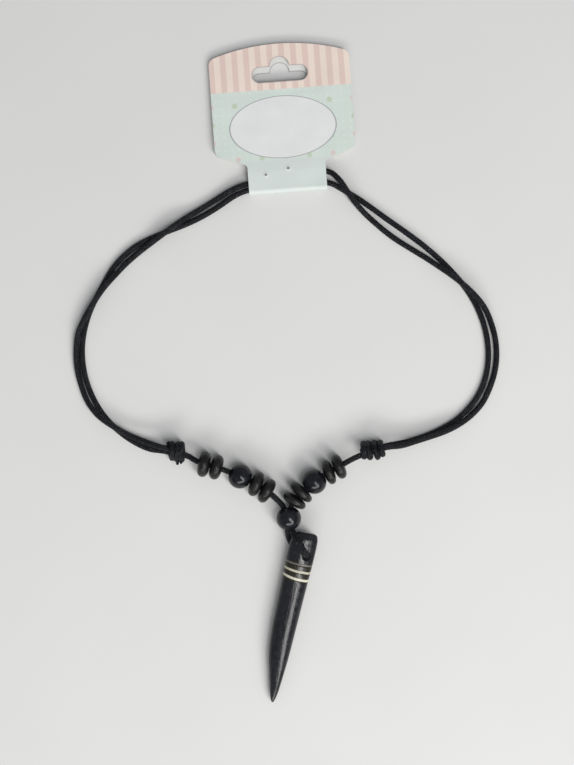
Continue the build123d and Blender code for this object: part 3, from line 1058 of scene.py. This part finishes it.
streaks, given, back = shared_effect("Streaks", [
    ("Vector", "NodeSocketVector", None),
    ("Scale", "NodeSocketFloat", 1.0),
    ("Stretch", "NodeSocketFloat", 8.0),
], ["Broad", "Fine"])
x, y, z = split(streaks, given["Vector"])
along = calc(streaks, "DIVIDE", x, given["Stretch"])
drawn_out = add_node(streaks, "ShaderNodeCombineXYZ", {"X": along, "Y": y, "Z": z}).outputs[0]
broad = noise(streaks, drawn_out, given["Scale"], 3.0, Roughness=0.55)
fine = noise(streaks, drawn_out, calc(streaks, "MULTIPLY", given["Scale"], 5.0), 2.0)
feed(streaks, back["Broad"], ramp(streaks, broad, 0.30, 0.70))
feed(streaks, back["Fine"], ramp(streaks, fine, 0.35, 0.65))
print("Groups:", blotches.name, streaks.name)

# %% Scratches, dust and a plain band
scratches, given, back = shared_effect("Scratches", [
    ("Vector", "NodeSocketVector", None),
    ("Scale", "NodeSocketFloat", 0.6),
    ("Width", "NodeSocketFloat", 0.006),
], ["Mask"])
swirl = noise(scratches, given["Vector"], given["Scale"], 1.0, Distortion=1.5)
off_line = calc(scratches, "ABSOLUTE", calc(scratches, "SUBTRACT", swirl, 0.5))
line_mask = ramp(scratches, off_line, 0.0, given["Width"], 1.0, 0.0)
broken = noise(scratches, given["Vector"], calc(scratches, "MULTIPLY", given["Scale"], 3.1), 1.0)
broken = ramp(scratches, broken, 0.45, 0.60)
feed(scratches, back["Mask"], calc(scratches, "MULTIPLY", line_mask, broken))

dust, given, back = shared_effect("Dust", [
    ("Vector", "NodeSocketVector", None),
    ("Amount", "NodeSocketFloat", 0.5),
], ["Mask"])
specks = add_node(dust, "ShaderNodeTexVoronoi", {"Vector": given["Vector"], "Scale": 2.6})
speck = ramp(dust, specks.outputs["Distance"], 0.05, 0.11, 1.0, 0.0)
chosen = calc(dust, "GREATER_THAN", split(dust, specks.outputs["Color"])[0], 0.82)
facing = split(dust, add_node(dust, "ShaderNodeNewGeometry").outputs["Normal"])
facing_up = ramp(dust, facing["Z"], 0.2, 0.8)
film = ramp(dust, noise(dust, given["Vector"], 0.7, 5.0), 0.45, 0.75)
film = calc(dust, "MULTIPLY", film, 0.25)
both = calc(dust, "MAXIMUM", calc(dust, "MULTIPLY", speck, chosen), film)
lying = calc(dust, "MULTIPLY", both, facing_up)
feed(dust, back["Mask"], calc(dust, "MULTIPLY", lying, given["Amount"]))

band, given, back = shared_effect("Band", [
    ("Value", "NodeSocketFloat", 0.0),
    ("Middle", "NodeSocketFloat", 0.0),
    ("Half", "NodeSocketFloat", 0.5),
    ("Blur", "NodeSocketFloat", 0.1),
], ["Mask"])
away = calc(band, "ABSOLUTE", calc(band, "SUBTRACT", given["Value"], given["Middle"]))
outer = calc(band, "ADD", given["Half"], given["Blur"])
feed(band, back["Mask"], ramp(band, away, given["Half"], outer, 1.0, 0.0))
print("Groups:", scratches.name, dust.name, band.name)

# %% [markdown]
# ## Waxed black cord
#
# The shader repeats the weave's pattern on the UV map, so that its fine yarns run along the
# same strands as the mesh. Wax makes the tops of the strands a little glossier. The colour
# holds painted light as well: a painted sheen in patches, painted glints of cool grey on the
# strands, and painted shade that keeps the gaps between them black.

# %% The weave as a node group, and the cord's finish
weave, given, back = shared_effect("Weave", [
    ("Along", "NodeSocketFloat", 0.0),
    ("Turn", "NodeSocketFloat", 0.0),
    ("Strands", "NodeSocketFloat", 7.0),
    ("Pitch", "NodeSocketFloat", 9.0),
    ("Yarns", "NodeSocketFloat", 3.0),
], ["Height", "Yarn"])
advance = calc(weave, "DIVIDE", given["Along"], given["Pitch"])
families = []
for sign in ("ADD", "SUBTRACT"):
    phase = calc(weave, "MULTIPLY", given["Strands"], calc(weave, sign, given["Turn"], advance))
    families.append((calc(weave, "FLOOR", phase), calc(weave, "FRACT", phase)))
(first_whole, first_part), (second_whole, second_part) = families
parity = calc(weave, "MODULO", calc(weave, "ADD", first_whole, second_whole), 2.0)
parity = calc(weave, "ABSOLUTE", parity)
humps = []
for own, other in ((first_part, second_part), (second_part, first_part)):
    centred = calc(weave, "SUBTRACT", calc(weave, "MULTIPLY", own, 2.0), 1.0)
    hump = calc(weave, "SUBTRACT", 1.0, calc(weave, "MULTIPLY", centred, centred))
    rise = calc(weave, "SINE", calc(weave, "MULTIPLY", other, np.pi))
    rise = calc(weave, "MULTIPLY_ADD", rise, 0.45, 0.55)
    twist = calc(weave, "MULTIPLY_ADD", other, 0.8, calc(weave, "MULTIPLY", own, given["Yarns"]))
    yarn = calc(weave, "SINE", calc(weave, "MULTIPLY", twist, 2 * np.pi))
    yarn = calc(weave, "MULTIPLY_ADD", yarn, 0.5, 0.5)
    humps.append((calc(weave, "MULTIPLY", hump, rise), yarn))
for label, slot_of in (("Height", 0), ("Yarn", 1)):
    pick = add_node(weave, "ShaderNodeMix", data_type="FLOAT")
    feed(weave, pick.inputs[0], parity)
    feed(weave, pick.inputs[2], humps[0][slot_of])
    feed(weave, pick.inputs[3], humps[1][slot_of])
    feed(weave, back[label], pick.outputs[0])

cord_finish, tree, shader = finish_tree("waxed_black_cord")
uv = surface_uv(tree)
braid = effect(tree, weave, Along=uv["X"], Turn=uv["Y"], Strands=float(braid_strands), Pitch=braid_pitch)
place = in_millimetres(tree)
worn = effect(tree, blotches, Vector=place, Scale=0.35, Low=0.42, High=0.66)["Mask"]
# Painted glints: small pale specks in the colour stand in for points of light on the strands.
painted_glints = effect(tree, blotches, Vector=place, Scale=2.6, Low=0.58, High=0.70)["Mask"]
strand_colour = blend(tree, worn, (0.0018, 0.0024, 0.0042, 1), (0.0065, 0.008, 0.0125, 1))
# Painted sheen: paler patches in the colour stand in for the shine of the wax.
painted_sheen = effect(tree, blotches, Vector=place, Scale=0.9, Low=0.52, High=0.68)["Mask"]
strand_colour = tint(tree, strand_colour, painted_sheen, 0.55, (0.024, 0.028, 0.038, 1))
strand_colour = tint(tree, strand_colour, painted_glints, 0.80, (0.14, 0.147, 0.17, 1))
# Painted shade: the gaps between the strands get a darker colour than their tops.
depth = ramp(tree, braid["Height"], 0.05, 0.75)
feed(tree, shader["Base Color"], blend(tree, depth, (0.0012, 0.0013, 0.0018, 1), strand_colour))
feed(tree, shader["Roughness"], ramp(tree, braid["Height"], 0.2, 1.0, 0.75, 0.34))
woven = calc(tree, "MULTIPLY_ADD", braid["Yarn"], 0.22, braid["Height"])
feed(tree, shader["Normal"], relief(tree, woven, 0.15))
shader["Specular IOR Level"].default_value = 0.25
cord_like = [made for made in bpy.data.objects if made.get("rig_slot") == "cord"]
dress(cord_like, cord_finish)
print("Cord finish on", len(cord_like), "pieces")

# %% [markdown]
# ## Polished beads and waxed wooden discs
#
# The round beads are glossy black, with hair scratches that only show in a reflection. The
# discs are dark turned wood under thin wax: the tool left faint rings that run round the
# hole, which the UV map's first number follows, and some of the wood's fibre shows.

# %% Polished black
bead_finish, tree, shader = finish_tree("polished_black_bead")
place = in_millimetres(tree)
hair = effect(tree, scratches, Vector=place, Scale=0.9, Width=0.010)["Mask"]
dusty = effect(tree, dust, Vector=place, Amount=0.30)["Mask"]
cloudy = effect(tree, blotches, Vector=place, Scale=0.45, Low=0.40, High=0.65)["Mask"]
base = blend(tree, cloudy, (0.004, 0.0045, 0.007, 1), (0.010, 0.010, 0.015, 1))
feed(tree, shader["Base Color"], blend(tree, dusty, base, (0.16, 0.16, 0.16, 1)))
gloss = calc(tree, "MULTIPLY_ADD", cloudy, 0.07, 0.17)
feed(tree, shader["Roughness"], calc(tree, "MULTIPLY_ADD", hair, 0.25, gloss))
surface_height = calc(tree, "MULTIPLY_ADD", hair, -0.06, noise(tree, place, 0.9, 2.0))
feed(tree, shader["Normal"], relief(tree, surface_height, 0.05))
shader["Specular IOR Level"].default_value = 0.34
dress(bead_pieces, bead_finish)

# %% Waxed dark wood
tool_step = 0.46
disc_finish, tree, shader = finish_tree("waxed_dark_wood")
place = in_millimetres(tree)
uv = surface_uv(tree)
tool_mark = calc(tree, "MULTIPLY_ADD", noise(tree, place, 0.5, 2.0), 0.8, uv["X"])
tool_ring = calc(tree, "SINE", calc(tree, "MULTIPLY", tool_mark, 2 * np.pi / tool_step))
tool_ring = calc(tree, "MULTIPLY_ADD", tool_ring, 0.5, 0.5)
fibre = effect(tree, streaks, Vector=place, Scale=1.1, Stretch=0.35)
stain = effect(tree, blotches, Vector=place, Scale=0.28, Low=0.38, High=0.66)["Mask"]
base = blend(tree, stain, (0.0025, 0.0025, 0.003, 1), (0.009, 0.0088, 0.0082, 1))
base = tint(tree, base, fibre["Broad"], 0.38, (0.012, 0.012, 0.0115, 1))
base = tint(tree, base, tool_ring, 0.25, (0.020, 0.020, 0.019, 1))
dusty = effect(tree, dust, Vector=place, Amount=0.25)["Mask"]
feed(tree, shader["Base Color"], blend(tree, dusty, base, (0.15, 0.145, 0.135, 1)))
feed(tree, shader["Roughness"], calc(tree, "MULTIPLY_ADD", fibre["Fine"], 0.14, 0.22))
wood_height = calc(tree, "MULTIPLY_ADD", fibre["Fine"], 0.35, calc(tree, "MULTIPLY", tool_ring, 0.8))
feed(tree, shader["Normal"], relief(tree, wood_height, 0.035))
shader["Specular IOR Level"].default_value = 0.25
shader["Coat Weight"].default_value = 0.12
shader["Coat Roughness"].default_value = 0.12
dress(disc_pieces, disc_finish)
print("Bead finish on", len(bead_pieces), "and disc finish on", len(disc_pieces))

# %% [markdown]
# ## The fang's finish
#
# The fang is dark and polished, with mottled streaks along it and an olive stain where the
# rings are let in. The drilled hole and a rim round it are painted in dark shade. The rings
# are planes that lean a little, so their masks come from the distance along the fang, mixed
# with the place across it and the height over its axis.

# %% Dark carved fang with pale rings
ring_colours = [(0.16, 0.155, 0.13, 1), (0.60, 0.565, 0.45, 1), (0.72, 0.68, 0.55, 1)]
stain_middle, stain_half, stain_blur = 12.6, 2.2, 1.3

fang_finish, tree, shader = finish_tree("carved_dark_fang")
place = in_millimetres(tree, fang_top, fang_heading)
x, y, z = split(tree, place)
z_over = calc(tree, "MULTIPLY_ADD", x, float(np.tan(np.radians(fang_dip))), z)
grain = effect(tree, streaks, Vector=place, Scale=0.85, Stretch=9.0)
hairline = effect(tree, streaks, Vector=place, Scale=2.6, Stretch=30.0)
mottle = effect(tree, blotches, Vector=place, Scale=0.30, Low=0.36, High=0.66)["Mask"]
base = blend(tree, grain["Broad"], (0.0025, 0.003, 0.0055, 1), (0.009, 0.0095, 0.013, 1))
base = tint(tree, base, mottle, 0.5, (0.006, 0.007, 0.011, 1))
base = tint(tree, base, hairline["Fine"], 0.25, (0.045, 0.045, 0.048, 1))
stained = effect(tree, band, Value=x, Middle=stain_middle, Half=stain_half, Blur=stain_blur)["Mask"]
base = tint(tree, base, stained, 0.75, (0.024, 0.0205, 0.011, 1))
worn = calc(tree, "MULTIPLY_ADD", grain["Fine"], -0.30, 1.0)
rings = 0.0
for (ring_at, ring_width, tilt), ring_colour in zip(ring_bands, ring_colours):
    ring_place = calc(tree, "MULTIPLY_ADD", y, float(np.tan(np.radians(tilt))), x)
    ring_place = calc(tree, "MULTIPLY_ADD", z_over, -ring_sag, ring_place)
    ragged = calc(tree, "MULTIPLY_ADD", calc(tree, "SUBTRACT", mottle, 0.5), 0.10, ring_place)
    mask = effect(tree, band, Value=ragged, Middle=ring_at, Half=ring_width * 0.42, Blur=0.16)["Mask"]
    base = tint(tree, base, mask, worn, ring_colour)
    rings = calc(tree, "MAXIMUM", mask, rings)
dusty = effect(tree, dust, Vector=place, Amount=0.22)["Mask"]
base = blend(tree, dusty, base, (0.17, 0.17, 0.165, 1))
polish = calc(tree, "MULTIPLY_ADD", grain["Fine"], 0.12, 0.12)
polish = calc(tree, "MULTIPLY_ADD", rings, 0.12, polish)
hair = effect(tree, scratches, Vector=place, Scale=0.5, Width=0.008)["Mask"]
along_hole = calc(tree, "SUBTRACT", x, fang_hole_from_end)
across_hole = calc(tree, "SUBTRACT", y, fang_hole_from_middle)
from_hole = from_middle(tree, along_hole, across_hole)
# Painted shade: the hole and a rim round it get a near-black colour. The same mask makes them matte and
# takes the coat off.
hole_shade_mask = ramp(tree, from_hole, fang_hole / 2 + 0.3, fang_hole / 2 + 0.7, 1.0, 0.0)
carved = calc(tree, "MULTIPLY_ADD", hairline["Broad"], 0.5, calc(tree, "MULTIPLY", grain["Broad"], 0.6))
carved = calc(tree, "MULTIPLY_ADD", hair, -0.25, carved)
feed(tree, shader["Normal"], relief(tree, carved, 0.05))
feed(tree, shader["Base Color"], blend(tree, hole_shade_mask, base, (0.003, 0.003, 0.004, 1)))
feed(tree, shader["Roughness"], ramp(tree, hole_shade_mask, 0.0, 1.0, polish, 0.9))
feed(tree, shader["Coat Weight"], ramp(tree, hole_shade_mask, 0.0, 1.0, 0.22, 0.0))
shader["Specular IOR Level"].default_value = 0.28
shader["Coat Roughness"].default_value = 0.08
dress([fang_piece], fang_finish)
print("Fang finish with", len(ring_bands), "rings")

# %% [markdown]
# ## The printed card and its staple
#
# The card is one CAD solid, which stays as it is. Its finish works in the card's own frame:
# x across it and v up from the fold. The print is plain: stripes above, a grid of dots below,
# and a bare oval with a thin line. Only the front and the fold are printed, so the mask also
# reads the way a face looks, and the cut edges show the paper's white core. A thin painted
# shade runs round the edges of both slots.

# %% Print on the card
card_fold = (4.35, 56.5)
card_turn = 4.2
stripe_start = 32.4
stripe_pitch = 3.7
stripe_shift = 40.25
tab_height = 9.2
oval_middle = (-0.2, 20.5)
oval_half = (16.9, 9.85)
oval_line = 0.028
between_panels = 1.1
leg_places = [(-6.6, 5.9), (0.5, 7.45)]
slot_level = 37.2
slot_half_straight = 6.3
slot_radius = 2.4
slot_rise = 2.4
slot_rise_radius = 3.0
back_drop = 1.8

card_finish, tree, shader = finish_tree("printed_card")
place = in_millimetres(tree, (*card_fold, 0), card_turn)
x, v, z = split(tree, place)
facing = split(tree, add_node(tree, "ShaderNodeNewGeometry").outputs["Normal"])


def spots(pitch_x, pitch_v, radius, shift=0.0):
    """Round dots on a regular grid, and the parity of each dot's cell.

    Fifty cells are added both ways, so that no cell of the card has a number below 0.
    """
    cells, parts = [], []
    for value, pitch in ((x, pitch_x), (v, pitch_v)):
        scaled = calc(tree, "ADD", calc(tree, "DIVIDE", value, pitch), 50.0 + shift)
        cells.append(calc(tree, "FLOOR", scaled))
        offset = calc(tree, "SUBTRACT", calc(tree, "FRACT", scaled), 0.5)
        parts.append(calc(tree, "MULTIPLY", offset, pitch))
    parity = calc(tree, "MODULO", calc(tree, "ADD", *cells), 2.0)
    return ramp(tree, from_middle(tree, *parts), radius, radius + 0.12, 1.0, 0.0), parity


stripe_place = calc(tree, "ADD", calc(tree, "DIVIDE", x, stripe_pitch), stripe_shift)
stripe_phase = calc(tree, "FRACT", stripe_place)
stripe = effect(tree, band, Value=stripe_phase, Middle=0.5, Half=0.22, Blur=0.05)["Mask"]
striped = blend(tree, stripe, (0.86, 0.725, 0.635, 1), (0.755, 0.585, 0.525, 1))
small_dots, _ = spots(2.2, 2.2, 0.22)
large_dots, large_parity = spots(7.4, 5.6, 0.78, shift=0.5)
mint = tint(tree, (0.650, 0.730, 0.680, 1), small_dots, 0.45, (0.82, 0.84, 0.82, 1))
large_colour = blend(tree, large_parity, (0.71, 0.56, 0.54, 1), (0.50, 0.60, 0.42, 1))
mint = tint(tree, mint, large_dots, 0.80, large_colour)
header = ramp(tree, v, stripe_start - 0.12, stripe_start + 0.12)
printed = blend(tree, header, mint, striped)
oval_x = calc(tree, "DIVIDE", calc(tree, "SUBTRACT", x, oval_middle[0]), oval_half[0])
oval_v = calc(tree, "DIVIDE", calc(tree, "SUBTRACT", v, oval_middle[1]), oval_half[1])
oval = from_middle(tree, oval_x, oval_v)
printed = blend(tree, ramp(tree, oval, 0.99, 1.0, 1.0, 0.0), printed, (0.77, 0.78, 0.78, 1))
outline = effect(tree, band, Value=oval, Middle=0.985, Half=oval_line / 4, Blur=0.010)["Mask"]
printed = tint(tree, printed, outline, 0.75, (0.24, 0.25, 0.26, 1))
tab = ramp(tree, v, tab_height + 0.6, tab_height + 1.6, 1.0, 0.0)
printed = blend(tree, tab, printed, (0.630, 0.692, 0.668, 1))
print("Print: stripes from", stripe_start, "mm up, dots and an oval below")

# %% Paper, creases, where the staple goes through, and painted shade round the slots
facing_up = ramp(tree, facing["Z"], 0.25, 0.45)
on_front = ramp(tree, z, between_panels, between_panels + 0.05)
front = calc(tree, "MULTIPLY", facing_up, on_front)
fold = ramp(tree, v, 1.0, 1.5, 1.0, 0.0)
shown = calc(tree, "MAXIMUM", front, fold)
fibres = noise(tree, place, 2.4, 5.0)
tired = effect(tree, blotches, Vector=place, Scale=0.09, Low=0.35, High=0.70)["Mask"]
bare = blend(tree, fibres, (0.66, 0.66, 0.65, 1), (0.78, 0.78, 0.76, 1))
base = blend(tree, shown, bare, printed)
crease = effect(tree, band, Value=v, Middle=0.55, Half=0.25, Blur=0.45)["Mask"]
rubbed = calc(tree, "MULTIPLY", crease, ramp(tree, fibres, 0.42, 0.60))
base = tint(tree, base, rubbed, 0.22, (0.80, 0.80, 0.79, 1))
swell = 0.0
for leg_x, leg_v in leg_places:
    near = from_middle(tree, calc(tree, "SUBTRACT", x, leg_x), calc(tree, "SUBTRACT", v, leg_v))
    blister = ramp(tree, near, 0.2, 1.3, 1.0, 0.0)
    base = tint(tree, base, blister, 0.30, (0.80, 0.80, 0.80, 1))
    pierced = ramp(tree, calc(tree, "MULTIPLY_ADD", fibres, -0.35, near), 0.18, 0.32, 1.0, 0.0)
    base = tint(tree, base, pierced, 0.85, (0.10, 0.10, 0.11, 1))
    swell = calc(tree, "MAXIMUM", blister, swell)
past_straight = calc(tree, "SUBTRACT", calc(tree, "ABSOLUTE", x), slot_half_straight)
past_straight = calc(tree, "MAXIMUM", past_straight, 0.0)
to_slots = []
for level in (slot_level, slot_level - back_drop):
    over = calc(tree, "SUBTRACT", v, level)
    to_long = calc(tree, "SUBTRACT", from_middle(tree, past_straight, over), slot_radius)
    over_rise = calc(tree, "SUBTRACT", over, slot_rise)
    to_rise = calc(tree, "SUBTRACT", from_middle(tree, x, over_rise), slot_rise_radius)
    to_slots.append(calc(tree, "MINIMUM", to_long, to_rise))
nearer = calc(tree, "SUBTRACT", to_slots[0], to_slots[1])
to_slot = calc(tree, "MULTIPLY_ADD", front, nearer, to_slots[1])
# Painted shade: a thin dark grey line along the edges of the front and back slots.
slot_edge_shade = ramp(tree, to_slot, 0.10, 0.34, 1.0, 0.0)
base = tint(tree, base, slot_edge_shade, 0.60, (0.20, 0.20, 0.20, 1))
base = tint(tree, base, tired, 0.10, (0.50, 0.49, 0.47, 1))
feed(tree, shader["Base Color"], base)
feed(tree, shader["Roughness"], ramp(tree, shown, 0.0, 1.0, 0.85, 0.48))
waves = relief(tree, noise(tree, place, 0.07, 1.0), 0.8)
swollen = relief(tree, swell, 0.12, waves)
feed(tree, shader["Normal"], relief(tree, fibres, 0.010, swollen))
dress([nodes["hang_card"]], card_finish)
print("Card finish on the CAD solid")

# %% Drawn steel wire
steel_finish, tree, shader = finish_tree("drawn_steel_wire")
place = in_millimetres(tree)
drawn = effect(tree, streaks, Vector=place, Scale=6.0, Stretch=12.0)
tarnish = effect(tree, blotches, Vector=place, Scale=1.6, Low=0.45, High=0.65)["Mask"]
base = blend(tree, drawn["Broad"], (0.42, 0.42, 0.43, 1), (0.60, 0.60, 0.61, 1))
feed(tree, shader["Base Color"], tint(tree, base, tarnish, 0.5, (0.22, 0.20, 0.18, 1)))
feed(tree, shader["Roughness"], calc(tree, "MULTIPLY_ADD", drawn["Fine"], 0.2, 0.25))
feed(tree, shader["Normal"], relief(tree, drawn["Fine"], 0.008))
shader["Metallic"].default_value = 1.0
dress([nodes["staple"]], steel_finish)
print("Steel finish on the staple")

# %% A plain pale surface
floor_finish, tree, shader = finish_tree("pale_surface")
place = in_millimetres(tree)
nap = noise(tree, place, 0.02, 3.0)
feed(tree, shader["Base Color"], blend(tree, nap, (0.685, 0.685, 0.675, 1), (0.725, 0.725, 0.715, 1)))
shader["Roughness"].default_value = 0.95
shader["Specular IOR Level"].default_value = 0.2

# %% [markdown]
# ## Light
#
# The photograph has soft light from the lower right, and the pale room all round. The beads
# mirror its shape, a hooked band, so three broad lamps stand along that band. They give the
# soft shadows towards the upper left, and a dim world gives the rest.

# %% Surface, lamp and world
floor_mesh = bpy.data.meshes.new("floor")
floor_half = 3.0
floor_corners = [
    (right * floor_half, up * floor_half, 0) for right, up in ((-1, -1), (1, -1), (1, 1), (-1, 1))
]
floor_mesh.from_pydata(floor_corners, [], [(0, 1, 2, 3)])
floor = bpy.data.objects.new("floor", floor_mesh)
bpy.context.scene.collection.objects.link(floor)
dress([floor], floor_finish)

scene = bpy.context.scene
scene.view_settings.view_transform = "Standard"
scene.view_settings.look = "None"


def lamp(name, azimuth, elevation, distance, width, height, power, colour):
    """An area lamp that faces the necklace from an azimuth and elevation in degrees."""
    data = bpy.data.lights.new(name, "AREA")
    data.shape = "RECTANGLE"
    data.size = width
    data.size_y = height
    data.energy = power
    data.color = colour
    made = bpy.data.objects.new(name, data)
    bpy.context.scene.collection.objects.link(made)
    a, e = np.radians(azimuth), np.radians(elevation)
    towards = np.array([np.cos(e) * np.cos(a), np.cos(e) * np.sin(a), np.sin(e)])
    made.location = towards * distance + np.array([*view_middle, 0]) * MM
    made.rotation_mode = "QUATERNION"
    made.rotation_quaternion = Vector(towards).to_track_quat("Z", "Y")
    return made


lamp("long window", -78, 34, 1.2, 1.3, 0.32, 8.0, (1.0, 0.985, 0.96))
lamp("side window", -44, 54, 1.1, 0.24, 0.68, 4.8, (1.0, 0.985, 0.97))
lamp("overhead", -35, 76, 1.1, 0.17, 0.28, 2.0, (1.0, 0.99, 0.98))
world = bpy.data.worlds.new("world")
world.use_nodes = True
world.node_tree.nodes["Background"].inputs["Color"].default_value = (0.93, 0.96, 1.0, 1)
world.node_tree.nodes["Background"].inputs["Strength"].default_value = 0.32
scene.world = world
print("Lamps, world and surface are in place")
